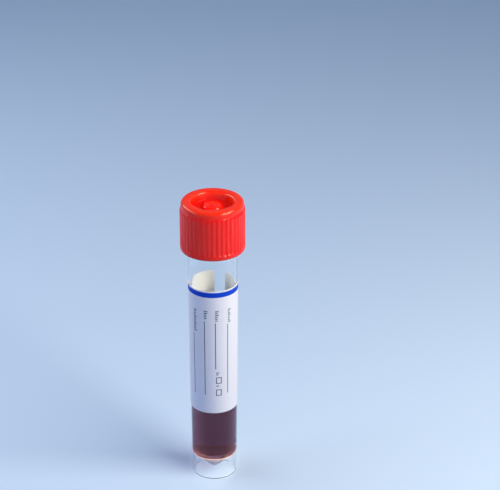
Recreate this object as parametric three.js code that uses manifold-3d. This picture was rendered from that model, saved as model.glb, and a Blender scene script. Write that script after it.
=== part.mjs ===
// Specimen tube: a clear moulded tube that stands on its own skirt, with a red ribbed screw cap,
// a seal ring under the cap, a paper label and a small fill of red liquid medium.
// Millimetres, +Z up. The origin is on the resting plane, on the tube's axis, and the printed
// front of the label faces -Y. Angles round the axis are counted from the front towards +X.

import * as THREE from 'three';
import { mergeVertices } from 'three/addons/utils/BufferGeometryUtils.js';
import Module from 'manifold-3d';

const wasm = await Module();
wasm.setup();

const TURN = 2 * Math.PI;
const DEG = Math.PI / 180;

// ---------------------------------------------------------------- driving dimensions

// tube
const footRadius = 7.5;          // outside radius of the skirt where it stands
const barrelDraft = 0.0078;      // growth of the outside radius for each millimetre of height
const tubeWall = 0.95;           // wall of the barrel and the skirt
const shoulderHeight = 83.85;    // top of the drafted barrel, where the straight neck starts
const neckHeight = 14.7;         // from the shoulder to the rim
const rimRounding = 0.25;        // edge rounding of the rim and of the skirt's foot
const coneSlope = 48 * DEG;      // slope of the cone bottom from the horizontal
const coneWall = 0.7;            // wall of the cone bottom
const coneTipRadius = 1.0;       // inside rounding of the cone's tip
const coneTipLift = 1.3;         // underside of the cone's tip above the resting plane
const skirtRootRounding = 0.3;   // rounding where the cone's underside runs into the skirt

// screw thread, the same form on the neck and in the cap
const threadLead = 3.0;          // rise for one turn, right hand, single start
const threadHeight = 0.8;        // radial height
const threadRootWidth = 1.7;     // width along the axis at the wall
const threadCrestWidth = 0.9;    // width along the axis at the crest
const threadTurns = 1.25;        // length of each thread in turns
const threadOverlap = 1.0;       // turns in mesh when the cap is closed
const threadTopDrop = 1.55;      // middle of the neck thread's upper end below the rim
const threadFade = 40 * DEG;     // run-out at each end of a thread
const threadEndShare = 0.04;     // share of its height that a thread keeps at its very end
const threadClearance = 0.2;     // radial play between a crest and the wall facing it

// cap
const capHeight = 16.85;
const capWall = 1.1;             // skirt wall behind the ribs
const capTopPlate = 1.55;        // thickness of the flat ring round the recess
const capTopRounding = 0.8;
const capFootRounding = 0.45;
const capMouthChamfer = 0.4;     // lead-in at the cap's open end
const ribCount = 42;
const ribHeight = 0.4;
const ribFirstAngle = 2.3 * DEG; // middle of the rib nearest the front
const ribTipShare = 0.3;         // share of a rib's pitch that its flat tip takes
const ribRootShare = 0.28;       // share of a rib's pitch left plain between two ribs
const plainTop = 2.25;           // plain collar above the ribs
const plainFoot = 1.9;           // plain bead below the ribs
const ribRunOutTop = 1.1;        // height over which the upper end of a rib rounds off
const valleyRunOut = 0.35;       // height over which the lower end of a valley rises to the bead

// recess in the cap's top, the plug below it, and the boss that holds a swab stick from below
const recessRimRadius = 6.95;
const recessFloorRadius = 5.8;
const recessDepth = 2.7;
const recessRounding = 0.65;     // rounding of the rim and of the floor's corner
const recessFloorWall = 1.1;     // floor of the recess
const bossRadius = 3.2;
const bossDrop = 1.35;           // top of the boss below the cap's top face
const bossRounding = 0.8;
const dimpleRadius = 2.1;        // shallow dish in the boss, round the gate mark
const dimpleDepth = 0.45;
const gateRadius = 0.7;          // stub left by the moulding gate in the middle of the dish
const gateHeight = 0.4;
const plugClearance = 0.2;       // radial play between the plug and the tube's mouth
const plugTaper = 0.1;           // the plug's radius shrinks by this from top to bottom
const plugChamfer = 0.5;
const socketTopRadius = 1.5;     // bore that grips the stick, at its closed end
const socketMouthRadius = 2.6;   // funnel at its open end
const socketWall = 0.8;
const socketCeiling = 1.0;       // plastic left between the dish and the socket's closed end
const socketDrop = 3.0;          // funnel's lip below the recess floor's underside

// seal ring
const sealThickness = 0.75;
const sealPlay = 0.05;           // play above and below the ring
const sealSideGap = 0.1;         // gap to the plug inside it and to the cap's wall outside it

// label
const labelBottom = 26.2;
const labelHeight = 45.8;
const labelThickness = 0.15;
const labelGap = 0.05;           // adhesive line between paper and tube
const labelOpeningStart = 148 * DEG;   // first edge of the strip left clear at the back
const labelOpeningWidth = 29.5 * DEG;
const labelCornerRadius = 1.0;

// liquid
const mediumLevel = 27.9;        // height of its surface
const mediumGap = 0.05;          // play to the wall

// fineness of the faceted round forms
const facets = 48;
const arcSteps = 3;              // steps in a small rounding
const threadStep = 10 * DEG;
const coneSteps = 20;            // steps that settle the height where the cone meets the bore
const overcut = 1;               // length by which a cutting body runs out past the cap

// ---------------------------------------------------------------- derived places

const rimHeight = shoulderHeight + neckHeight;
const barrelRadius = (height) => footRadius + barrelDraft * height;
const neckRadius = barrelRadius(shoulderHeight);
const boreRadius = (height) => barrelRadius(height) - tubeWall;
const mouthRadius = neckRadius - tubeWall;

const capInnerRadius = neckRadius + threadHeight + threadClearance;
const capRootRadius = capInnerRadius + capWall;
const capTipRadius = capRootRadius + ribHeight;
const capUnderside = rimHeight + sealThickness + 2 * sealPlay;
const capTop = capUnderside + capTopPlate;
const capFoot = capTop - capHeight;

const plugTopRadius = mouthRadius - plugClearance;
const plugFootRadius = plugTopRadius - plugTaper;
const recessFloor = capTop - recessDepth;
const plugBottom = recessFloor - recessFloorWall;

// ---------------------------------------------------------------- shared shapes

// Points [radius, height] along an arc from angle `from` to angle `to`, both in the outline's plane.
function arc(centreRadius, centreHeight, radius, from, to) {
  const points = [];
  for (let i = 0; i <= arcSteps; i++) {
    const angle = from + ((to - from) * i) / arcSteps;
    points.push([centreRadius + radius * Math.cos(angle), centreHeight + radius * Math.sin(angle)]);
  }
  return points;
}

// A round body about Z from an outline of [radius, height] points that runs anticlockwise.
function turned(outline) {
  const points = outline.map(([radius, height]) => new THREE.Vector2(radius, height));
  return new THREE.LatheGeometry(points, facets).rotateX(Math.PI / 2);
}

// Radius at a given angle of the flat-sided wall that `turned` makes for this radius.
function facetedRadius(radius, angle) {
  const facetAngle = TURN / facets;
  const fromMiddle = angle - (Math.floor(angle / facetAngle) + 0.5) * facetAngle;
  return (radius * Math.cos(facetAngle / 2)) / Math.cos(fromMiddle);
}

// A point on a given radius, angle from the front, and height.
function place(radius, angle, height) {
  return [radius * Math.sin(angle), -radius * Math.cos(angle), height];
}

// A closed body skinned over rings of equally many points; each end is closed by a fan.
function skinned(rings) {
  const count = rings[0].length;
  const positions = rings.flat();
  const index = [];
  for (let k = 0; k + 1 < rings.length; k++) {
    for (let i = 0; i < count; i++) {
      const a = k * count + i;
      const b = k * count + ((i + 1) % count);
      index.push(a, b, b + count, a, b + count, a + count);
    }
  }
  const middle = (ring) => ring[0].map((_, axis) => ring.reduce((sum, p) => sum + p[axis], 0) / count);
  const first = positions.push(middle(rings[0])) - 1;
  const last = positions.push(middle(rings[rings.length - 1])) - 1;
  const lastRing = (rings.length - 1) * count;
  for (let i = 0; i < count; i++) {
    const next = (i + 1) % count;
    index.push(first, next, i);
    index.push(last, lastRing + i, lastRing + next);
  }
  const geometry = new THREE.BufferGeometry();
  geometry.setAttribute('position', new THREE.Float32BufferAttribute(positions.flat(), 3));
  geometry.setIndex(index);
  return geometry;
}

// Geometry to a solid that can be joined and cut, and back.
function solid(geometry) {
  geometry.deleteAttribute('normal');
  geometry.deleteAttribute('uv');
  const merged = mergeVertices(geometry);
  const index = merged.index.array;
  const triangles = [];
  for (let i = 0; i < index.length; i += 3) {
    const corners = [index[i], index[i + 1], index[i + 2]];
    if (new Set(corners).size === 3) triangles.push(...corners);
  }
  return new wasm.Manifold(new wasm.Mesh({
    numProp: 3,
    vertProperties: merged.attributes.position.array,
    triVerts: new Uint32Array(triangles),
  }));
}

function geometryOf(body) {
  const { vertProperties, triVerts, numProp } = body.getMesh();
  const geometry = new THREE.BufferGeometry();
  const positions = new Float32Array((vertProperties.length / numProp) * 3);
  for (let i = 0; i < positions.length / 3; i++) {
    positions.set(vertProperties.subarray(i * numProp, i * numProp + 3), i * 3);
  }
  geometry.setAttribute('position', new THREE.BufferAttribute(positions, 3));
  geometry.setIndex(new THREE.BufferAttribute(new Uint32Array(triVerts), 1));
  return geometry;
}

// One helical thread ridge. It stands on a wall of radius `wallRadius` and its crest is at
// `crestRadius`, outside or inside that wall. `bottom` is the height of the ridge's middle at angle 0.
function threadRidge(wallRadius, crestRadius, bottom, fromAngle, toAngle) {
  const side = Math.sign(crestRadius - wallRadius);
  const sunk = wallRadius - side * threadClearance / 2;   // root buried a little in the wall
  const steps = Math.round((toAngle - fromAngle) / threadStep);
  const rings = [];
  for (let i = 0; i <= steps; i++) {
    const angle = fromAngle + ((toAngle - fromAngle) * i) / steps;
    const toEnd = Math.min(angle - fromAngle, toAngle - angle) / threadFade;
    const rise = threadEndShare + (1 - threadEndShare) * Math.sin((Math.min(toEnd, 1) * Math.PI) / 2);
    const crest = sunk + (crestRadius - sunk) * rise;
    const middle = bottom + (threadLead * angle) / TURN;
    const corners = [
      place(sunk, angle, middle - threadRootWidth / 2),
      place(crest, angle, middle - threadCrestWidth / 2),
      place(crest, angle, middle + threadCrestWidth / 2),
      place(sunk, angle, middle + threadRootWidth / 2),
    ];
    rings.push(side > 0 ? corners.reverse() : corners);
  }
  return skinned(rings);
}

// ---------------------------------------------------------------- tube

// The neck thread's middle is at this height at angle 0; the cap's thread runs half a lead lower.
const threadStart = 0;
const threadEnd = threadTurns * TURN;
const threadBase = rimHeight - threadTopDrop - threadLead * threadTurns;
const capThreadStart = threadStart - (threadTurns - threadOverlap) * TURN;

// Height on a cone surface whose rounded tip has radius `tipRadius`, at a given radius from the axis.
const tipCentre = coneTipLift + coneWall + coneTipRadius;
function coneHeight(tipRadius, radius) {
  const edge = tipRadius * Math.sin(coneSlope);
  return tipCentre - tipRadius * Math.cos(coneSlope) + (radius - edge) * Math.tan(coneSlope);
}

// Height at which the inside of the cone meets the bore, or a body kept `gap` clear of both.
function coneTopHeight(gap) {
  let height = 0;
  for (let i = 0; i < coneSteps; i++) height = coneHeight(coneTipRadius - gap, boreRadius(height) - gap);
  return height;
}

function tipArc(tipRadius, from, to) {
  return arc(0, tipCentre, tipRadius, from - Math.PI / 2, to - Math.PI / 2);
}

function makeTube() {
  const skirtInner = footRadius - tubeWall;
  const outerTip = coneTipRadius + coneWall;
  const rootRadius = skirtInner - skirtRootRounding;
  const coneTop = coneTopHeight(0);
  const outline = [
    [0, coneTipLift],
    ...tipArc(outerTip, 0, coneSlope).slice(1),
    [rootRadius, coneHeight(outerTip, rootRadius)],
    [skirtInner, coneHeight(outerTip, rootRadius)],
    [skirtInner, rimRounding],
    ...arc(skirtInner + rimRounding, rimRounding, rimRounding, Math.PI, 1.5 * Math.PI),
    ...arc(footRadius - rimRounding, rimRounding, rimRounding, 1.5 * Math.PI, TURN),
    [neckRadius, shoulderHeight],
    ...arc(neckRadius - rimRounding, rimHeight - rimRounding, rimRounding, 0, Math.PI / 2),
    ...arc(mouthRadius + rimRounding, rimHeight - rimRounding, rimRounding, Math.PI / 2, Math.PI),
    [boreRadius(shoulderHeight), shoulderHeight],
    [boreRadius(coneTop), coneTop],
    ...tipArc(coneTipRadius, coneSlope, 0).slice(0, -1),
    [0, tipCentre - coneTipRadius],
  ];
  const ridge = threadRidge(neckRadius, neckRadius + threadHeight, threadBase, threadStart, threadEnd);
  return geometryOf(solid(turned(outline)).add(solid(ridge)));
}

// ---------------------------------------------------------------- screw cap

// Outer form from the foot to the top: [height, radius on the ribs, radius between them].
function capLevels() {
  const levels = [];
  const foot = arc(capTipRadius - capFootRounding, capFoot + capFootRounding, capFootRounding,
    1.5 * Math.PI, TURN);
  for (const [radius, height] of foot) levels.push([height, radius, radius]);
  levels.push([capFoot + plainFoot - valleyRunOut, capTipRadius, capTipRadius]);
  levels.push([capFoot + plainFoot, capTipRadius, capRootRadius]);
  for (let i = 0; i <= arcSteps; i++) {
    const rise = i / arcSteps;
    const height = capTop - plainTop - ribRunOutTop * (1 - rise);
    levels.push([height, capRootRadius + ribHeight * Math.sqrt(1 - rise * rise), capRootRadius]);
  }
  const top = arc(capRootRadius - capTopRounding, capTop - capTopRounding, capTopRounding, 0, Math.PI / 2);
  for (const [radius, height] of top) levels.push([height, radius, radius]);
  return levels;
}

function capBlank() {
  const pitch = TURN / ribCount;
  const tips = [-ribTipShare / 2, ribTipShare / 2];
  const valleys = [0.5 - ribRootShare / 2, 0.5 + ribRootShare / 2];
  const rings = capLevels().map(([height, tipRadius, valleyRadius]) => {
    const ring = [];
    for (let rib = 0; rib < ribCount; rib++) {
      const point = (radius) => (share) => place(radius, ribFirstAngle + (rib + share) * pitch, height);
      ring.push(...tips.map(point(tipRadius)), ...valleys.map(point(valleyRadius)));
    }
    return ring;
  });
  return skinned(rings);
}

// Everything that is open below the cap's top: the neck's space, the plug's outside and the socket.
function capInside() {
  const dishFloor = capTop - bossDrop - dimpleDepth;
  const below = capFoot - overcut;
  const lip = plugBottom - socketDrop;
  return turned([
    [0, below],
    [capInnerRadius + capMouthChamfer, below],
    [capInnerRadius + capMouthChamfer, capFoot],
    [capInnerRadius, capFoot + capMouthChamfer],
    [capInnerRadius, capUnderside],
    [plugTopRadius, capUnderside],
    [plugFootRadius, plugBottom + plugChamfer],
    [plugFootRadius - plugChamfer, plugBottom],
    [socketMouthRadius + socketWall, plugBottom],
    [socketMouthRadius + socketWall, lip],
    [socketMouthRadius, lip],
    [socketTopRadius, dishFloor - socketCeiling],
    [0, dishFloor - socketCeiling],
  ]);
}

// The round recess in the top, with the boss, its dish and the gate stub left standing.
function capRecess() {
  const above = capTop + overcut;
  const bossTop = capTop - bossDrop;
  const dishFloor = bossTop - dimpleDepth;
  return turned([
    [0, dishFloor + gateHeight],
    [gateRadius, dishFloor + gateHeight],
    [gateRadius, dishFloor],
    [dimpleRadius - dimpleDepth, dishFloor],
    [dimpleRadius, bossTop],
    ...arc(bossRadius - bossRounding, bossTop - bossRounding, bossRounding, Math.PI / 2, 0),
    [bossRadius, recessFloor],
    [recessFloorRadius - recessRounding, recessFloor],
    ...arc(recessFloorRadius - recessRounding, recessFloor + recessRounding, recessRounding,
      1.5 * Math.PI, TURN).slice(1),
    [recessRimRadius, capTop - recessRounding],
    ...arc(recessRimRadius + recessRounding, capTop - recessRounding, recessRounding, Math.PI, Math.PI / 2),
    [recessRimRadius + recessRounding, above],
    [0, above],
  ]);
}

function makeCap() {
  const ridge = threadRidge(capInnerRadius, capInnerRadius - threadHeight, threadBase - threadLead / 2,
    capThreadStart, capThreadStart + threadTurns * TURN);
  const shell = solid(capBlank()).subtract(solid(capInside())).subtract(solid(capRecess()));
  return geometryOf(shell.add(solid(ridge)));
}

// ---------------------------------------------------------------- seal ring, label, liquid

function makeSealRing() {
  const inner = plugTopRadius + sealSideGap;
  const outer = capInnerRadius - sealSideGap;
  const bottom = rimHeight + sealPlay;
  return turned([
    [inner, bottom],
    [outer, bottom],
    [outer, bottom + sealThickness],
    [inner, bottom + sealThickness],
    [inner, bottom],
  ]);
}

// A thin sheet that follows the faceted barrel, in columns from one end of the wrap to the other.
function makeLabel() {
  const from = labelOpeningStart + labelOpeningWidth - TURN;
  const to = labelOpeningStart;
  const facetAngle = TURN / facets;
  const cornerAngle = labelCornerRadius / barrelRadius(labelBottom);
  const angles = [];
  for (let i = 0; i <= arcSteps; i++) {
    const step = cornerAngle * (1 - Math.cos((i / arcSteps) * Math.PI / 2));
    angles.push(from + step, to - step);
  }
  for (let k = Math.ceil(from / facetAngle); k * facetAngle < to; k++) {
    const angle = k * facetAngle;
    if (angle > from + cornerAngle && angle < to - cornerAngle) angles.push(angle);
  }
  angles.sort((a, b) => a - b);
  const rings = angles.map((angle) => {
    const inCorner = Math.max(0, 1 - Math.min(angle - from, to - angle) / cornerAngle);
    const inset = labelCornerRadius * (1 - Math.sqrt(1 - inCorner * inCorner));
    const bottom = labelBottom + inset;
    const top = labelBottom + labelHeight - inset;
    const inner = (height) => barrelRadius(height) + labelGap;
    const outer = (height) => inner(height) + labelThickness;
    return [
      place(facetedRadius(inner(bottom), angle), angle, bottom),
      place(facetedRadius(inner(top), angle), angle, top),
      place(facetedRadius(outer(top), angle), angle, top),
      place(facetedRadius(outer(bottom), angle), angle, bottom),
    ];
  });
  return skinned(rings);
}

function makeMedium() {
  const tipRadius = coneTipRadius - mediumGap;
  const coneTop = coneTopHeight(mediumGap);
  return turned([
    [0, tipCentre - tipRadius],
    ...tipArc(tipRadius, 0, coneSlope).slice(1),
    [boreRadius(coneTop) - mediumGap, coneTop],
    [boreRadius(mediumLevel) - mediumGap, mediumLevel],
    [0, mediumLevel],
  ]);
}

// ---------------------------------------------------------------- the assembled object

const object = new THREE.Group();

function addPiece(name, geometry, finish) {
  const mesh = new THREE.Mesh(geometry, new THREE.MeshStandardMaterial({ metalness: 0, ...finish }));
  mesh.name = name;
  object.add(mesh);
}

addPiece('tube', makeTube(), { color: 0xdfe9f2, roughness: 0.12, transparent: true, opacity: 0.35 });
addPiece('medium', makeMedium(), { color: 0x7a0f1e, roughness: 0.05, transparent: true, opacity: 0.9 });
addPiece('label', makeLabel(), { color: 0xf1f0f3, roughness: 0.7 });
addPiece('seal_ring', makeSealRing(), { color: 0xe6e4df, roughness: 0.6 });
addPiece('screw_cap', makeCap(), { color: 0xf01a1c, roughness: 0.32 });

export default object;
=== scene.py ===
import math

import bpy
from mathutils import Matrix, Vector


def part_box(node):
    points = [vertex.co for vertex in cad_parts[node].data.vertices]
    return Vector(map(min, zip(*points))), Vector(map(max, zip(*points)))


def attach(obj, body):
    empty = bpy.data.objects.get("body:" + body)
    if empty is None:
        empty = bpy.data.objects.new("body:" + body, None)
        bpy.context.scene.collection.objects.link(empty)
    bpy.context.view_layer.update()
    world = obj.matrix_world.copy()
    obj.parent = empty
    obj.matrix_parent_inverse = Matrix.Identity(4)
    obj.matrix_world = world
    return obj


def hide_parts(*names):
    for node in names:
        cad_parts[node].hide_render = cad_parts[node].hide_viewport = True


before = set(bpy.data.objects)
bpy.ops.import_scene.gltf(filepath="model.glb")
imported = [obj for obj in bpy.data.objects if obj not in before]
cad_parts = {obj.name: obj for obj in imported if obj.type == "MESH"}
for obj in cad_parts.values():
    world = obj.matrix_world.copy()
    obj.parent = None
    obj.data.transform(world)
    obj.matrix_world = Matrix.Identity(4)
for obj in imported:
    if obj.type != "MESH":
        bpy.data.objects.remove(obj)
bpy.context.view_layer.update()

# ---------------------------------------------------------------------------------------------
# Clear tube. One injection moulding in clear plastic: a drafted barrel that runs down into an
# open skirt, a cone bottom that meets the skirt in a matt ring, and a straight neck with a
# single-start thread. It stands on the skirt's foot, with nothing else under it.

TURN = 2 * math.pi
MM = 0.001

tube_low, tube_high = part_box("tube")
rim_height = tube_high.z
foot_radius = 7.5 * MM
barrel_draft = 0.0078               # the radius grows by this share of the height
neck_length = 14.7 * MM
shoulder_height = rim_height - neck_length
tube_wall = 0.95 * MM
rim_rounding = 0.25 * MM            # at the mouth and at the foot
cone_slope = math.radians(48)
cone_wall = 0.7 * MM
cone_tip_radius = 1.0 * MM          # inside the cone
cone_tip_lift = 1.3 * MM            # under the cone
cone_tip_edge = math.degrees(cone_slope) - 90   # where the tip's rounding ends, in degrees
cone_rows, matt_cone_rows = 6, 3    # rows of faces up the cone, and how many are matt
skirt_root_rounding = 0.3 * MM
thread_lead = 3.0 * MM
thread_height = 0.8 * MM
thread_root_width = 1.7 * MM
thread_crest_width = 0.9 * MM
thread_turns = 1.25
thread_fade = math.radians(40)      # from nothing to its full height, at both ends
thread_top_drop = 1.55 * MM         # from the rim to the middle of its upper end
neck_thread_foot = rim_height - thread_top_drop - thread_lead * thread_turns
thread_rim_gap = 0.5 * MM           # plain wall above the thread's rows of points
liquid_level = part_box("medium")[1].z        # the bore is wet up to here


def barrel_radius(height):
    return foot_radius + barrel_draft * height


def bore_radius(height):
    return barrel_radius(height) - tube_wall


neck_radius = barrel_radius(shoulder_height)
mouth_radius = neck_radius - tube_wall
cone_tip_centre = tube_low.z + cone_tip_lift + cone_wall + cone_tip_radius


def cone_height(tip_radius, radius):
    """Height of a cone with a rounded tip, at a radius beyond the rounding."""
    rounding_edge = tip_radius * math.sin(cone_slope)
    rounding_top = cone_tip_centre - tip_radius * math.cos(cone_slope)
    return rounding_top + (radius - rounding_edge) * math.tan(cone_slope)


def cone_top(tip_radius, inset=0):
    """Height where a cone meets the bore, or the bore widened by `inset`."""
    level_bore = cone_height(tip_radius, bore_radius(0) + inset)
    return level_bore / (1 - barrel_draft * math.tan(cone_slope))


def arc(centre_radius, centre_height, size, first, last, steps=6):
    """Points along a rounding, as radius and height; the angles are in degrees."""
    points = []
    for i in range(steps + 1):
        angle = math.radians(first + (last - first) * i / steps)
        points.append((centre_radius + size * math.cos(angle),
                       centre_height + size * math.sin(angle)))
    return points


def run(first, last, steps):
    """Points spaced evenly between two points of an outline, without the first one."""
    return [tuple(a + (b - a) * i / steps for a, b in zip(first, last))
            for i in range(1, steps + 1)]


def thread_rise(angle, height, foot, start):
    """How far a thread stands up at this place, from 0 on the wall to 1 on its crest. `foot` is
    the height of its helix at the front, and `start` the angle at which it begins."""
    rise = 0
    for lap in (-1, 0, 1):
        along = angle + lap * TURN - start
        end = thread_turns * TURN
        if 0 <= along <= end:
            middle = foot + thread_lead * (along + start) / TURN
            flank = (thread_root_width - thread_crest_width) / 2
            from_middle = abs(height - middle)
            up = min(max((thread_root_width / 2 - from_middle) / flank, 0), 1)
            fade = min(min(along, end - along) / thread_fade, 1)
            rise = max(rise, up * math.sin(fade * math.pi / 2))
    return rise


def thread_rows(wall, crest, foot, start, first, last, rows):
    """Rows of an outline from the height `first` to `last`, with a thread that goes from the
    radius `wall` to the radius `crest`."""
    def row(height):
        return lambda angle: wall + (crest - wall) * thread_rise(angle, height, foot, start)

    heights = [first + (last - first) * i / rows for i in range(rows + 1)]
    return [(row(height), height) for height in heights]


def even_angles(count):
    return [TURN * k / count for k in range(count)]


def turned(name, outline, angles, ring=False):
    """A closed body about the upright axis, from an outline of (radius, height) that runs
    outwards, up and back. A radius may also be a function of the angle, which is counted
    from the front towards +X. A ring's outline closes on itself, not on the axis."""
    verts, rows = [], []
    for radius, height in outline:
        row = []
        if radius == 0:
            row.append(len(verts))
            verts.append((0, 0, height))
        else:
            for angle in angles:
                size = radius(angle) if callable(radius) else radius
                row.append(len(verts))
                verts.append((size * math.sin(angle), -size * math.cos(angle), height))
        rows.append(row)
    if ring:
        rows.append(rows[0])
    faces = []
    for low, high in zip(rows, rows[1:]):
        for k in range(len(angles)):
            corners = (low[k % len(low)], low[(k + 1) % len(low)],
                       high[(k + 1) % len(high)], high[k % len(high)])
            faces.append(tuple(dict.fromkeys(corners)))
    return moulded(name, verts, faces)


def moulded(name, verts, faces, crisp=38):
    """A piece from its points and faces, smooth except where two faces meet at an angle above
    `crisp` degrees."""
    mesh = bpy.data.meshes.new(name)
    mesh.from_pydata(verts, [], faces)
    mesh.validate()
    mesh.shade_smooth()
    mesh.set_sharp_from_angle(angle=math.radians(crisp))
    piece = bpy.data.objects.new(name, mesh)
    bpy.context.scene.collection.objects.link(piece)
    return piece


def tint(red, green, blue):
    """A colour given in the usual 0 to 255, as the shader wants it."""
    linear = [c / 255 / 12.92 if c <= 10 else ((c / 255 + 0.055) / 1.055) ** 2.4
              for c in (red, green, blue)]
    return (*linear, 1)


def node_maker(tree):
    """A short way to add a node to this tree and to set its values."""
    def node(kind, **values):
        made = tree.nodes.new(kind)
        for key, value in values.items():
            if key in made.inputs:
                made.inputs[key].default_value = value
            else:
                setattr(made, key, value)
        return made

    return node


def new_material(name):
    """A new material with its shader, and short ways to add a node and to join two."""
    material = bpy.data.materials.new(name)
    material.use_nodes = True
    tree = material.node_tree
    return material, tree.nodes["Principled BSDF"], node_maker(tree), tree.links.new


def surface_grain(shader, node, link, size, depth, stretch=(1, 1, 1)):
    """A shallow unevenness of the skin: `size` is how wide one swell is and `depth` how deep,
    in metres. Gives back the pattern, for the colour or the gloss to follow."""
    place = node("ShaderNodeTexCoord")
    scale = node("ShaderNodeMapping", Scale=stretch)
    swell = node("ShaderNodeTexNoise", Scale=1 / size, Detail=3.0, Roughness=0.5)
    bump = node("ShaderNodeBump", Strength=1.0, Distance=depth)
    link(place.outputs["Object"], scale.inputs["Vector"])
    link(scale.outputs["Vector"], swell.inputs["Vector"])
    link(swell.outputs["Fac"], bump.inputs["Height"])
    link(bump.outputs["Normal"], shader.inputs["Normal"])
    return swell.outputs["Fac"]


def uneven_gloss(shader, node, link, pattern, smoothest, roughest):
    """Roughness that follows a pattern."""
    gloss = node("ShaderNodeMapRange")
    gloss.inputs["To Min"].default_value = smoothest
    gloss.inputs["To Max"].default_value = roughest
    link(pattern, gloss.inputs["Value"])
    link(gloss.outputs["Result"], shader.inputs["Roughness"])


def let_light_through(material, node, link, colour):
    """Lamps shine through the piece, dimmed by `colour` at each skin, as they do in life."""
    shader = material.node_tree.nodes["Principled BSDF"]
    out = material.node_tree.nodes["Material Output"]
    path = node("ShaderNodeLightPath")
    through = node("ShaderNodeBsdfTransparent", Color=colour)
    mix = node("ShaderNodeMixShader")
    link(path.outputs["Is Shadow Ray"], mix.inputs["Fac"])
    link(shader.outputs["BSDF"], mix.inputs[1])
    link(through.outputs["BSDF"], mix.inputs[2])
    link(mix.outputs["Shader"], out.inputs["Surface"])


def clear_plastic(name, mirrored=(1, 1, 1, 1), body=tint(251, 253, 254), clearness=1.0):
    """Clear plastic. `mirrored` tints what its skin mirrors, and is black where liquid wets it,
    as a wetted skin mirrors next to nothing. `body` is its colour, and `clearness` falls from 1
    where the mould left it matt and it catches the light."""
    material, shader, node, link = new_material(name)
    shader.inputs["Base Color"].default_value = body
    shader.inputs["IOR"].default_value = 1.47
    shader.inputs["Transmission Weight"].default_value = clearness
    shader.inputs["Specular Tint"].default_value = mirrored
    flow = surface_grain(shader, node, link, size=6 * MM, depth=0.006 * MM, stretch=(1, 1, 0.25))
    uneven_gloss(shader, node, link, flow, smoothest=0.02, roughest=0.06)
    let_light_through(material, node, link, colour=(0.70, 0.71, 0.72, 1))
    return material


def tube_outside():
    """From the tip of the cone out to the skirt, round its foot and up to the thread's top.
    Also the two ends of the matt ring, as places in the outline."""
    skirt_inner = foot_radius - tube_wall
    outer_tip = cone_tip_radius + cone_wall
    root_radius = skirt_inner - skirt_root_rounding
    root_height = cone_height(outer_tip, root_radius)
    outline = [(0, tube_low.z + cone_tip_lift)]
    outline += arc(0, cone_tip_centre, outer_tip, -90, cone_tip_edge)[1:]
    outline += run(outline[-1], (root_radius, root_height), cone_rows)
    matt_from = len(outline) - 1 - matt_cone_rows
    outline += arc(root_radius, root_height - skirt_root_rounding, skirt_root_rounding,
                   90, 0, steps=5)[1:]
    matt_to = len(outline) - 1
    outline += run(outline[-1], (skirt_inner, rim_rounding), 4)
    outline += arc(skirt_inner + rim_rounding, rim_rounding, rim_rounding, 180, 270)[1:]
    outline += arc(foot_radius - rim_rounding, rim_rounding, rim_rounding, 270, 360)
    outline += run(outline[-1], (neck_radius, shoulder_height), 24)
    thread_low = neck_thread_foot - thread_root_width
    outline += run(outline[-1], (neck_radius, thread_low), 3)
    outline += thread_rows(neck_radius, neck_radius + thread_height, neck_thread_foot, 0,
                           thread_low, rim_height - thread_rim_gap, rows=60)[1:]
    return outline, matt_from, matt_to


def tube_inside():
    """From the mouth's rounding down to the liquid's level, then from there down the wetted
    bore and the cone to its tip."""
    dry = arc(neck_radius - rim_rounding, rim_height - rim_rounding, rim_rounding, 0, 90)
    dry += arc(mouth_radius + rim_rounding, rim_height - rim_rounding, rim_rounding, 90, 180)
    dry += run(dry[-1], (bore_radius(shoulder_height), shoulder_height), 4)
    dry += run(dry[-1], (bore_radius(liquid_level), liquid_level), 16)
    cone_edge = cone_top(cone_tip_radius)
    tip = arc(0, cone_tip_centre, cone_tip_radius, cone_tip_edge, -90)
    wet = run(dry[-1], (bore_radius(cone_edge), cone_edge), 8)
    wet += run(wet[-1], tip[0], cone_rows)
    wet += tip[1:-1]
    wet.append((0, cone_tip_centre - cone_tip_radius))
    return dry, wet


def make_tube():
    outside, matt_from, matt_to = tube_outside()
    dry, wet = tube_inside()
    wet_from = len(outside + dry) - 1
    columns = 192
    tube = turned("clear_tube", outside + dry + wet, even_angles(columns))
    tube.data.materials.append(clear_plastic("clear_plastic"))
    tube.data.materials.append(clear_plastic("wet_clear_plastic", mirrored=(0, 0, 0, 1)))
    # painted glow: the matt ring's pale salmon colour stands in for light that has passed
    # through the red liquid
    tube.data.materials.append(clear_plastic("matt_clear_plastic_painted_glow", body=tint(255, 208, 194),
                                             clearness=0.12))
    for face in tube.data.polygons[wet_from * columns:]:
        face.material_index = 1
    for face in tube.data.polygons[matt_from * columns:matt_to * columns]:
        face.material_index = 2
    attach(tube, "tube_body")
    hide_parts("tube")


make_tube()

# ---------------------------------------------------------------------------------------------
# Red liquid medium. About three millilitres of clear dark red liquid that fills the cone and
# the foot of the bore. Its surface climbs a little where it wets the wall.

wetted_depth = 0.04 * MM            # the liquid's skin lies this far inside the plastic's
meniscus_rise = 0.7 * MM
meniscus_width = 1.6 * MM
meniscus_curve = 2.6                # the higher, the sooner it flattens away from the wall
wall_film = 0.02 * MM               # level edge of the liquid along the wall
level_ring = 0.4                    # a ring of points on its level middle, by radius


def dark_red_liquid():
    material, shader, node, link = new_material("dark_red_liquid")
    shader.inputs["Base Color"].default_value = (1, 1, 1, 1)
    shader.inputs["Roughness"].default_value = 0.0
    shader.inputs["IOR"].default_value = 1.34
    shader.inputs["Transmission Weight"].default_value = 1.0
    shader.inputs["Specular Tint"].default_value = (0, 0, 0, 1)     # it wets the plastic
    depth = node("ShaderNodeVolumeAbsorption", Color=(0.53, 0.10, 0.31, 1), Density=335.0)
    out = material.node_tree.nodes["Material Output"]
    link(depth.outputs["Volume"], out.inputs["Volume"])
    let_light_through(material, node, link, colour=(1, 1, 1, 1))
    return material


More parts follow.
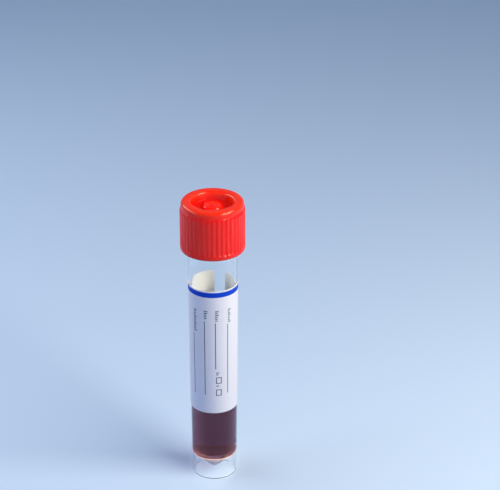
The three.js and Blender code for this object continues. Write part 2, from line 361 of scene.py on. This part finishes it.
def make_medium():
    tip = cone_tip_radius + wetted_depth
    cone_edge = cone_top(tip, wetted_depth)
    wall = bore_radius(liquid_level) + wetted_depth
    outline = [(0, cone_tip_centre - tip)]
    outline += arc(0, cone_tip_centre, tip, -90, cone_tip_edge)[1:]
    outline += run(outline[-1], (bore_radius(cone_edge) + wetted_depth, cone_edge), 8)
    outline += run(outline[-1], (wall, liquid_level), 12)
    level = liquid_level - meniscus_rise
    steps = 8
    for i in range(steps + 1):
        inwards = i / steps
        outline.append((wall - wall_film - meniscus_width * inwards,
                        level + meniscus_rise * (1 - inwards) ** meniscus_curve))
    outline += [(wall * level_ring, level), (0, level)]
    medium = turned("red_liquid", outline, even_angles(128))
    medium.data.materials.append(dark_red_liquid())
    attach(medium, "tube_body")
    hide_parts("medium")


make_medium()

# ---------------------------------------------------------------------------------------------
# Paper label. One white self-adhesive sheet with rounded corners, wrapped round the barrel
# with a strip left open at the back. It is printed flat before it is stuck on: a blue band
# along the top, four ruled lines to write on, short marks at their heads and two tick boxes.

label_low, label_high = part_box("label")
label_bottom, label_top = label_low.z, label_high.z
label_gap = 0.05 * MM
label_thickness = 0.15 * MM
label_corner = 1.0 * MM
wrap_from, wrap_to = -182.5, 148.0      # ends of the wrap, in degrees from the front
band_bottom, band_top = 2.25 * MM, 0.45 * MM     # edges of the blue band below the label's top
rule_width = 0.26 * MM
mark_pitch, mark_width = 0.66 * MM, 0.34 * MM
short_mark = 0.7                    # a short mark's length as a share of a long one's
column_pitch, row_pitch = 2.0, 5 * MM           # of the sheet's points: degrees, then metres
least_turn, least_rise = 0.02, 0.005 * MM       # points closer than this are made one
white, blue_ink, dark_ink, back_side = range(4)     # order of the label's materials

# each line: place round the barrel in degrees, then its upper and lower end in millimetres
ruled_lines = [(-50.5, 55.7, 32.7), (-20.2, 60.9, 33.1), (5.6, 60.4, 43.1), (36.0, 59.5, 33.4)]
# each mark: its two sides in degrees, then its upper and lower end in millimetres
heading_marks = [(-49.7, -40.6, 64.6, 56.3), (-21.4, -12.6, 64.8, 61.5),
                 (4.8, 13.8, 64.8, 60.7), (36.6, 44.0, 64.9, 59.7),
                 (6.8, 13.8, 41.8, 40.4), (7.0, 13.6, 36.8, 35.9)]
tick_boxes = [(6.2, 19.9, 39.9, 37.5), (6.2, 19.7, 35.3, 32.9)]


def label_print():
    """Everything in dark ink: its two sides in degrees, then its bottom and top in metres."""
    degrees = math.degrees(1) / barrel_radius(label_bottom)     # degrees for a metre of paper
    shapes = []
    for place, top, bottom in ruled_lines:
        half = rule_width / 2 * degrees
        shapes.append((place - half, place + half, bottom * MM, top * MM))
    for index, (left, right, top, bottom) in enumerate(heading_marks):
        count = max(1, round((top - bottom) * MM / mark_pitch))
        for k in range(count):
            high = top * MM - k * (top - bottom) * MM / count
            is_long = k == 0 or (k * 3 + index) % 4 == 0    # the first and one in four
            end = right if is_long else left + (right - left) * short_mark
            shapes.append((left, end, high - mark_width, high))
    for left, right, top, bottom in tick_boxes:
        side = rule_width * degrees
        shapes += [(left, left + side, bottom * MM, top * MM),
                   (right - side, right, bottom * MM, top * MM),
                   (left + side, right - side, top * MM - rule_width, top * MM),
                   (left + side, right - side, bottom * MM, bottom * MM + rule_width)]
    return shapes


def two_tones(node, link, pattern, first, second, first_at=0.0, second_at=1.0):
    """A colour that goes from `first` to `second` as a pattern or a height grows."""
    tone = node("ShaderNodeValToRGB")
    ends = tone.color_ramp.elements
    ends[0].position, ends[1].position = first_at, second_at
    ends[0].color, ends[1].color = first, second
    link(pattern, tone.inputs["Fac"])
    return tone.outputs["Color"]


def label_paper(name, colour, roughness, coat):
    """Coated paper, with faint fibres in its colour and its skin."""
    material, shader, node, link = new_material(name)
    fibres = surface_grain(shader, node, link, size=0.35 * MM, depth=0.006 * MM,
                           stretch=(1, 1, 0.45))
    darker = tint(*[c * 0.975 for c in colour])
    paper = two_tones(node, link, fibres, darker, tint(*colour), first_at=0.3, second_at=0.7)
    link(paper, shader.inputs["Base Color"])
    shader.inputs["Roughness"].default_value = roughness
    shader.inputs["Specular IOR Level"].default_value = 0.22
    shader.inputs["Coat Weight"].default_value = coat
    shader.inputs["Coat Roughness"].default_value = 0.22
    return material


def thinned(values, least):
    """The sorted values, without the ones closer than `least` to the one before."""
    kept = []
    for value in sorted(values):
        if not kept or value - kept[-1] > least:
            kept.append(value)
    return kept


def label_columns(ink):
    """Degrees at which the sheet has a column of points, and how far each column near an end
    of the wrap stops short of the sheet's top and bottom, which rounds the corners."""
    corner = math.degrees(label_corner / barrel_radius(label_bottom))
    count = int((wrap_to - wrap_from) / column_pitch)
    columns = [wrap_from + column_pitch * k for k in range(1, count)]
    columns = {a for a in columns if wrap_from + corner < a < wrap_to - corner}
    insets = {}
    for degrees in range(10, 91, 16):
        bend = math.radians(degrees)
        for end, side in ((wrap_from, 1), (wrap_to, -1)):
            column = end + side * corner * (1 - math.cos(bend))
            insets[column] = label_corner * (1 - math.sin(bend))
            columns.add(column)
    for left, right, _, _ in ink:
        columns |= {left, right}
    return thinned(columns, least_turn), insets


def label_rows(ink):
    """Heights at which the sheet has a row of points."""
    rows = {label_bottom, label_top - band_bottom, label_top - band_top, label_top}
    rows |= {label_bottom + label_corner * k / 3 for k in (1, 2, 3)}
    rows |= {label_bottom + row_pitch * k for k in range(1, 9)}
    for _, _, bottom, top in ink:
        rows |= {bottom, top}
    return thinned(rows, least_rise)


def label_point(column, height, inset, lift):
    """A point of the sheet on the barrel, `lift` above the sheet's back."""
    keep = 1 - inset / label_corner
    low, high = label_bottom + label_corner, label_top - label_corner
    if height < low:
        height = low - (low - height) * keep
    if height > high:
        height = high + (height - high) * keep
    size = barrel_radius(height) + label_gap + lift
    turn = math.radians(column)
    return (size * math.sin(turn), -size * math.cos(turn), height)


def material_at(column, height, ink):
    """Which of the label's materials its front has at this place."""
    if label_top - band_bottom < height < label_top - band_top:
        return blue_ink
    if any(left < column < right and low < height < high for left, right, low, high in ink):
        return dark_ink
    return white


def make_label():
    ink = label_print()
    columns, insets = label_columns(ink)
    rows = label_rows(ink)
    verts = [label_point(column, height, insets.get(column, 0), lift)
             for lift in (0, label_thickness) for column in columns for height in rows]
    faces, materials = [], []
    tall, front = len(rows), len(columns) * len(rows)
    for i in range(len(columns) - 1):
        for j in range(tall - 1):
            a, b = i * tall + j, (i + 1) * tall + j
            faces.append((front + a, front + b, front + b + 1, front + a + 1))
            materials.append(material_at((columns[i] + columns[i + 1]) / 2,
                                         (rows[j] + rows[j + 1]) / 2, ink))
            faces.append((a, a + 1, b + 1, b))
            materials.append(back_side)
    last = (len(columns) - 1) * tall
    for j in range(tall - 1):
        faces.append((j, front + j, front + j + 1, j + 1))
        faces.append((last + j, last + j + 1, front + last + j + 1, front + last + j))
    for a in range(0, last, tall):
        b, top = a + tall, tall - 1
        faces.append((a, b, front + b, front + a))
        faces.append((a + top, front + a + top, front + b + top, b + top))
    materials += [white] * (len(faces) - len(materials))
    label = moulded("paper_label", verts, faces)
    for material in (label_paper("label_white", (226, 224, 226), roughness=0.55, coat=0.15),
                     label_paper("label_blue_ink", (2, 62, 190), roughness=0.5, coat=0.0),
                     label_paper("label_dark_ink", (74, 74, 84), roughness=0.55, coat=0.0),
                     label_paper("label_back", (244, 238, 236), roughness=0.8, coat=0.0)):
        label.data.materials.append(material)
    label.data.polygons.foreach_set("material_index", materials)
    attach(label, "tube_body")
    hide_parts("label")


make_label()

# ---------------------------------------------------------------------------------------------
# Seal ring. A flat washer cut from off-white silicone. It lies on the tube's rim, round the
# cap's plug, and is squeezed when the cap is screwed home.

seal_low, seal_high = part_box("seal_ring")
seal_outer = seal_high.x
plug_clearance = 0.2 * MM
plug_top_radius = mouth_radius - plug_clearance
seal_clearance = 0.1 * MM           # round the plug
seal_inner = plug_top_radius + seal_clearance
seal_edge = 0.08 * MM


def make_seal():
    outline = []
    corners = [(seal_inner, seal_low.z, 180), (seal_outer, seal_low.z, 270),
               (seal_outer, seal_high.z, 0), (seal_inner, seal_high.z, 90)]
    for radius, height, first in corners:
        inwards = 1 if radius == seal_inner else -1
        upwards = 1 if height == seal_low.z else -1
        outline += arc(radius + inwards * seal_edge, height + upwards * seal_edge, seal_edge,
                       first, first + 90, steps=3)
    seal = turned("seal_washer", outline, even_angles(96), ring=True)
    material, shader, node, link = new_material("off_white_silicone")
    dust = surface_grain(shader, node, link, size=0.4 * MM, depth=0.004 * MM)
    silicone = two_tones(node, link, dust, tint(222, 219, 211), tint(234, 232, 226))
    link(silicone, shader.inputs["Base Color"])
    shader.inputs["Roughness"].default_value = 0.6
    seal.data.materials.append(material)
    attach(seal, "seal_carrier")
    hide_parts("seal_ring")


make_seal()

# ---------------------------------------------------------------------------------------------
# Screw cap. One injection moulding in red plastic, with 42 grip ribs between a plain collar and
# a plain bead, and a round recess in its top with a small dished boss in the middle. Below are
# a plug for the tube's mouth, a socket that grips the swab's stick, and the thread.

cap_low, cap_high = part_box("screw_cap")
cap_foot, cap_top = cap_low.z, cap_high.z
thread_clearance = 0.2 * MM         # to the neck's thread
cap_wall = 1.5 * MM                 # to the tips of the ribs
cap_inner_radius = neck_radius + thread_height + thread_clearance
cap_tip_radius = cap_inner_radius + cap_wall
cap_mouth_bevel = 0.4 * MM
top_plate = 1.55 * MM
cap_underside = cap_top - top_plate

rib_count = 42
rib_height = 0.4 * MM               # over the collar
groove_depth = 0.17 * MM            # between two ribs
groove_foot_depth = 0.28 * MM       # and just above the bead
rib_first = math.radians(2.3)       # from the front to the middle of a rib
rib_half_foot, rib_flank = 0.42, 0.33       # as shares of a rib's pitch
# columns of points across a rib's pitch, from its middle
rib_columns = (-0.5, -0.41, -0.35, -0.27, -0.19, -0.12, 0, 0.12, 0.19, 0.27, 0.35, 0.41)
cap_root_radius = cap_tip_radius - rib_height
collar_height, bead_height = 2.25 * MM, 1.9 * MM
rib_run_out, valley_run_out = 1.1 * MM, 0.55 * MM
valley_crease = 0.25 * MM           # from the valleys' run-out to the bead's plain side
foot_rounding, top_rounding = 0.45 * MM, 0.8 * MM

recess_rim, recess_floor_radius, recess_depth = 6.95 * MM, 6.35 * MM, 2.7 * MM
recess_edge, recess_corner = 0.65 * MM, 0.22 * MM
recess_lean = 18                    # of its wall, in degrees
boss_radius, boss_drop = 3.2 * MM, 1.35 * MM
boss_root, boss_crown = 0.45 * MM, 0.8 * MM
dish_radius, dish_depth, dish_lip = 2.1 * MM, 0.45 * MM, 0.3 * MM
gate_radius, gate_height = 0.7 * MM, 0.4 * MM
gate_rounding = 0.3 * MM
gate_root, gate_groove = 0.2 * MM, 0.05 * MM    # the dish's floor ends this far from the gate

plug_floor = 1.1 * MM               # under the recess
plug_bottom = cap_top - recess_depth - plug_floor
plug_draft = 0.1 * MM
plug_lead_in = 0.5 * MM
plug_root = 0.1 * MM
socket_roof = 1.0 * MM              # under the boss's dish
socket_radius, socket_mouth_radius = 1.5 * MM, 2.6 * MM
socket_outer_radius = 3.4 * MM
socket_length = 3.0 * MM            # below the plug
socket_lip = 0.3 * MM
socket_root = 0.2 * MM
inner_bevel = 0.15 * MM
cap_thread_start = -0.25 * TURN     # it begins a quarter turn before the front
cap_thread_foot = neck_thread_foot - thread_lead / 2
cap_thread_drop = 1.2 * MM          # from the underside to the thread's first row

# painted light: from here up to the top face the cap's colour turns a more orange red, standing
# in for the light on the top
painted_top_light_foot, painted_top_light_top = 2.2 * MM, 0.5 * MM      # below the top face


def eased(share):
    """From 0 to 1, gently at both ends."""
    return share * share * (3 - 2 * share)


def rib_rise(angle):
    """Shape of a rib across its pitch, from 0 in the valley to 1 on the rib's flat."""
    share = ((angle - rib_first) * rib_count / TURN + 0.5) % 1 - 0.5
    return eased(min(max((rib_half_foot - abs(share)) / rib_flank, 0), 1))


def ribbed(valley, tip):
    """A radius that goes from `valley` to `tip` and back at each rib."""
    return lambda angle: valley + (tip - valley) * rib_rise(angle)


def eased_edge(wall, face, size, lean=0, inwards=False):
    """Corner between a wall and a level face at the height `face`, from the radius `wall` where
    it leaves the wall, which leans by `lean` degrees, up to the face. It is rounded gently from
    20 to 52 degrees round and more tightly on both sides of that."""
    across = rise = 0
    step, tight, gentle = 6, 0.55, 1.85
    points = [(0, 0)]
    for start in range(lean, 90, step):
        angle = start + step / 2
        rounding = size * (gentle if 20 < angle < 52 else tight)
        across += math.radians(step) * rounding * math.sin(math.radians(angle))
        rise += math.radians(step) * rounding * math.cos(math.radians(angle))
        points.append((across, rise))
    way = -1 if inwards else 1
    return [(wall - way * a, face - rise + r) for a, r in points]


def cap_outside():
    """From the foot's rounding up over the bead, the ribs and the collar to the top face."""
    outline = arc(cap_tip_radius - foot_rounding, cap_foot + foot_rounding, foot_rounding,
                  270, 360, steps=7)
    bead_top = cap_foot + bead_height
    ribs_end = cap_top - collar_height
    outline.append((cap_tip_radius, bead_top - valley_run_out - valley_crease))
    steps = 6
    for i in range(steps + 1):
        drop = i / steps
        valley = cap_tip_radius - groove_foot_depth * eased(drop)
        outline.append((ribbed(valley, cap_tip_radius),
                        bead_top - valley_run_out * (1 - drop)))
    for i in range(1, steps + 1):
        height = bead_top + (ribs_end - rib_run_out - bead_top) * i / steps
        level_off = min(2 * i / steps, 1)
        depth = groove_foot_depth + (groove_depth - groove_foot_depth) * level_off
        outline.append((ribbed(cap_tip_radius - depth, cap_tip_radius), height))
    steps = 8
    for i in range(1, steps + 1):
        rise = math.sin(i / steps * math.pi / 2)
        left = math.sqrt(max(0, 1 - rise * rise))
        tip = cap_root_radius + rib_height * left
        outline.append((ribbed(tip - groove_depth * left, tip),
                        ribs_end - rib_run_out * (1 - rise)))
    outline += eased_edge(cap_root_radius, cap_top, top_rounding)
    return outline


def cap_recess():
    """From the top face's inner edge down the recess, over the boss and its dish to the gate."""
    floor = cap_top - recess_depth
    boss_top = cap_top - boss_drop
    dish_floor = boss_top - dish_depth
    outline = eased_edge(recess_rim, cap_top, recess_edge, lean=recess_lean, inwards=True)[::-1]
    outline += arc(recess_floor_radius - recess_corner, floor + recess_corner, recess_corner,
                   360 - recess_lean, 270, steps=5)
    outline += arc(boss_radius + boss_root, floor + boss_root, boss_root, 270, 180, steps=4)
    outline += eased_edge(boss_radius, boss_top, boss_crown)
    outline += arc(dish_radius, boss_top - dish_lip, dish_lip, 90, 145, steps=4)
    outline += run(outline[-1], (gate_radius + gate_root, dish_floor), 3)
    outline.append((gate_radius + gate_groove, dish_floor + gate_groove))
    outline += arc(gate_radius - gate_rounding, dish_floor + gate_height - gate_rounding,
                   gate_rounding, 0, 90, steps=5)
    outline.append((0, dish_floor + gate_height))
    return outline


def cap_inside():
    """From the socket's closed end down its bore, up the plug, and down the threaded wall."""
    socket_end = cap_top - boss_drop - dish_depth - socket_roof
    socket_foot = plug_bottom - socket_length
    plug_foot = plug_top_radius - plug_draft
    outline = [(0, socket_end), (socket_radius - inner_bevel, socket_end),
               (socket_radius, socket_end - inner_bevel)]
    outline += run(outline[-1], (socket_mouth_radius, socket_foot), 5)
    outline += [(socket_mouth_radius + socket_lip, socket_foot),
                (socket_outer_radius, socket_foot + inner_bevel),
                (socket_outer_radius, plug_bottom - socket_root),
                (socket_outer_radius + socket_root, plug_bottom),
                (plug_foot - plug_lead_in, plug_bottom),
                (plug_foot - plug_lead_in * 0.5, plug_bottom + plug_lead_in * 0.4),
                (plug_foot, plug_bottom + plug_lead_in),
                (plug_top_radius, cap_underside - plug_root),
                (plug_top_radius + plug_root, cap_underside),
                (cap_inner_radius - inner_bevel, cap_underside),
                (cap_inner_radius, cap_underside - inner_bevel)]
    thread_low = (cap_thread_foot + thread_lead * cap_thread_start / TURN
                  - thread_root_width)
    outline += thread_rows(cap_inner_radius, cap_inner_radius - thread_height,
                           cap_thread_foot, cap_thread_start,
                           cap_underside - cap_thread_drop, thread_low, rows=40)
    outline += [(cap_inner_radius, cap_foot + cap_mouth_bevel),
                (cap_inner_radius + cap_mouth_bevel, cap_foot)]
    return outline


def red_cap_plastic():
    """Satin red plastic: a fine mould grain and a slight flow in the colour from the gate. The
    top plate is painted a more orange red, as painted light for the bright light on the top."""
    material, shader, node, link = new_material("red_cap_plastic")
    grain = surface_grain(shader, node, link, size=0.25 * MM, depth=0.0008 * MM)
    uneven_gloss(shader, node, link, grain, smoothest=0.06, roughest=0.11)
    place = node("ShaderNodeTexCoord")
    flow = node("ShaderNodeTexNoise", Scale=1 / (5 * MM), Detail=2.0)
    link(place.outputs["Object"], flow.inputs["Vector"])
    red = two_tones(node, link, flow.outputs["Fac"], tint(255, 14, 7), tint(255, 20, 10),
                    first_at=0.3, second_at=0.7)
    # painted highlight: the top plate is coloured a lighter, more orange red for the light that
    # falls on it
    up = node("ShaderNodeSeparateXYZ")
    top_light_ramp = node("ShaderNodeMapRange")
    top_light_ramp.inputs["From Min"].default_value = cap_top - painted_top_light_foot
    top_light_ramp.inputs["From Max"].default_value = cap_top - painted_top_light_top
    painted_top_light_mix = node("ShaderNodeMixRGB", Color2=tint(255, 45, 14))
    link(place.outputs["Object"], up.inputs["Vector"])
    link(up.outputs["Z"], top_light_ramp.inputs["Value"])
    link(top_light_ramp.outputs["Result"], painted_top_light_mix.inputs["Fac"])
    link(red, painted_top_light_mix.inputs["Color1"])
    link(painted_top_light_mix.outputs["Color"], shader.inputs["Base Color"])
    shader.inputs["IOR"].default_value = 1.49
    shader.inputs["Specular IOR Level"].default_value = 0.38
    shader.inputs["Specular Tint"].default_value = (1.0, 0.95, 0.82, 1)
    shader.inputs["Subsurface Weight"].default_value = 0.9
    shader.inputs["Subsurface Radius"].default_value = (1.0, 0.10, 0.06)
    shader.inputs["Subsurface Scale"].default_value = 3.0 * MM
    return material


def make_cap():
    angles = [rib_first + (rib + share) * TURN / rib_count
              for rib in range(rib_count) for share in rib_columns]
    cap = turned("red_screw_cap", cap_inside() + cap_outside() + cap_recess(), angles)
    cap.data.materials.append(red_cap_plastic())
    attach(cap, "cap_body")
    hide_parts("screw_cap")


make_cap()

# ---------------------------------------------------------------------------------------------
# Table top, lamps and camera. A plain pale table in a light room, with one soft lamp to the
# right and in front, and a second one to the left and behind.

table_radius = 4.0
table_gap = 0.05 * MM                       # below the part's foot
table_blue = tint(186, 203, 228)
thrown_blue = tint(96, 128, 205)            # what the table throws back at the part
upper_blue = tint(112, 124, 142)            # the room above the backdrop
backdrop_foot, backdrop_top = 0.12, 0.40    # sine of the rise at which its colour turns
lamp_distance, lamp_aim_height = 0.42, 0.08
lens_length, film_width = 147.63, 36        # in millimetres, as the camera counts them
camera_place = (0.01211, -0.59756, 0.37870)
camera_down = math.radians(26.18)           # below the level


def seen_pale(node, link):
    """1 where the surround is seen directly, in gloss or through clear plastic, and 0 where it
    only lights a dull surface."""
    def maths(operation, first, second):
        made = node("ShaderNodeMath", operation=operation)
        link(first, made.inputs[0])
        link(second, made.inputs[1])
        return made.outputs["Value"]

    path = node("ShaderNodeLightPath").outputs
    seen = maths("MAXIMUM", path["Is Camera Ray"], path["Is Glossy Ray"])
    seen = maths("MAXIMUM", seen, path["Is Transmission Ray"])
    direct = node("ShaderNodeMath", operation="LESS_THAN")
    direct.inputs[1].default_value = 0.5        # no dull surface came before
    link(path["Diffuse Depth"], direct.inputs[0])
    return maths("MULTIPLY", seen, direct.outputs["Value"])


def make_table():
    verts = [(table_radius * math.sin(a), -table_radius * math.cos(a), -table_gap)
             for a in even_angles(64)]
    table = moulded("table_top", verts, [tuple(range(64))])
    material, shader, node, link = new_material("pale_table")
    shader.inputs["Base Color"].default_value = table_blue
    shader.inputs["Roughness"].default_value = 0.75
    shader.inputs["Specular IOR Level"].default_value = 0.2
    surface_grain(shader, node, link, size=1.0 * MM, depth=0.01 * MM)
    thrown = node("ShaderNodeBsdfDiffuse", Color=thrown_blue)
    mix = node("ShaderNodeMixShader")
    link(seen_pale(node, link), mix.inputs["Fac"])
    link(thrown.outputs["BSDF"], mix.inputs[1])
    link(shader.outputs["BSDF"], mix.inputs[2])
    link(mix.outputs["Shader"], material.node_tree.nodes["Material Output"].inputs["Surface"])
    table.data.materials.append(material)


def make_lamp(name, round_degrees, up_degrees, width, height, power, colour):
    """A soft box that faces the part from `round_degrees` round it, counted from the front
    towards +X, and `up_degrees` up."""
    lamp = bpy.data.lights.new(name, "AREA")
    lamp.shape = "RECTANGLE"
    lamp.size, lamp.size_y = width, height
    lamp.energy = power
    lamp.color = colour
    stand = bpy.data.objects.new(name, lamp)
    turn, rise = math.radians(round_degrees), math.radians(up_degrees)
    stand.location = (lamp_distance * math.cos(rise) * math.sin(turn),
                      -lamp_distance * math.cos(rise) * math.cos(turn),
                      lamp_aim_height + lamp_distance * math.sin(rise))
    stand.rotation_euler = (math.pi / 2 - rise, 0, turn)
    bpy.context.scene.collection.objects.link(stand)


def make_room():
    """An even pale surround: a soft light between the lamps, with the pale backdrop where it
    is seen directly, in gloss or through clear plastic."""
    world = bpy.data.worlds.new("pale_room")
    bpy.context.scene.world = world
    world.use_nodes = True
    tree = world.node_tree
    node, link = node_maker(tree), tree.links.new
    light = tree.nodes["Background"]
    light.inputs["Color"].default_value = (0.45, 0.68, 1.0, 1)
    light.inputs["Strength"].default_value = 0.36
    way = node("ShaderNodeTexCoord")
    up = node("ShaderNodeSeparateXYZ")
    link(way.outputs["Generated"], up.inputs["Vector"])
    shade = two_tones(node, link, up.outputs["Z"], table_blue, upper_blue,
                      backdrop_foot, backdrop_top)
    backdrop = node("ShaderNodeBackground")
    link(shade, backdrop.inputs["Color"])
    mix = node("ShaderNodeMixShader")
    link(seen_pale(node, link), mix.inputs["Fac"])
    link(light.outputs["Background"], mix.inputs[1])
    link(backdrop.outputs["Background"], mix.inputs[2])
    link(mix.outputs["Shader"], tree.nodes["World Output"].inputs["Surface"])


def make_camera():
    lens = bpy.data.cameras.new("camera")
    lens.lens = lens_length
    lens.sensor_width = film_width
    lens.clip_start, lens.clip_end = 0.01, 20
    camera = bpy.data.objects.new("camera", lens)
    camera.location = camera_place
    camera.rotation_euler = (math.pi / 2 - camera_down, 0, 0)
    bpy.context.scene.collection.objects.link(camera)
    bpy.context.scene.camera = camera


make_table()
make_lamp("right_lamp", round_degrees=62, up_degrees=34, width=0.34, height=0.10, power=2.62,
          colour=(1.0, 0.93, 0.76))
make_lamp("left_lamp", round_degrees=-100, up_degrees=29, width=0.56, height=0.08, power=1.25,
          colour=(0.97, 0.98, 1.0))
make_room()
make_camera()
bpy.context.scene.view_settings.view_transform = "Standard"
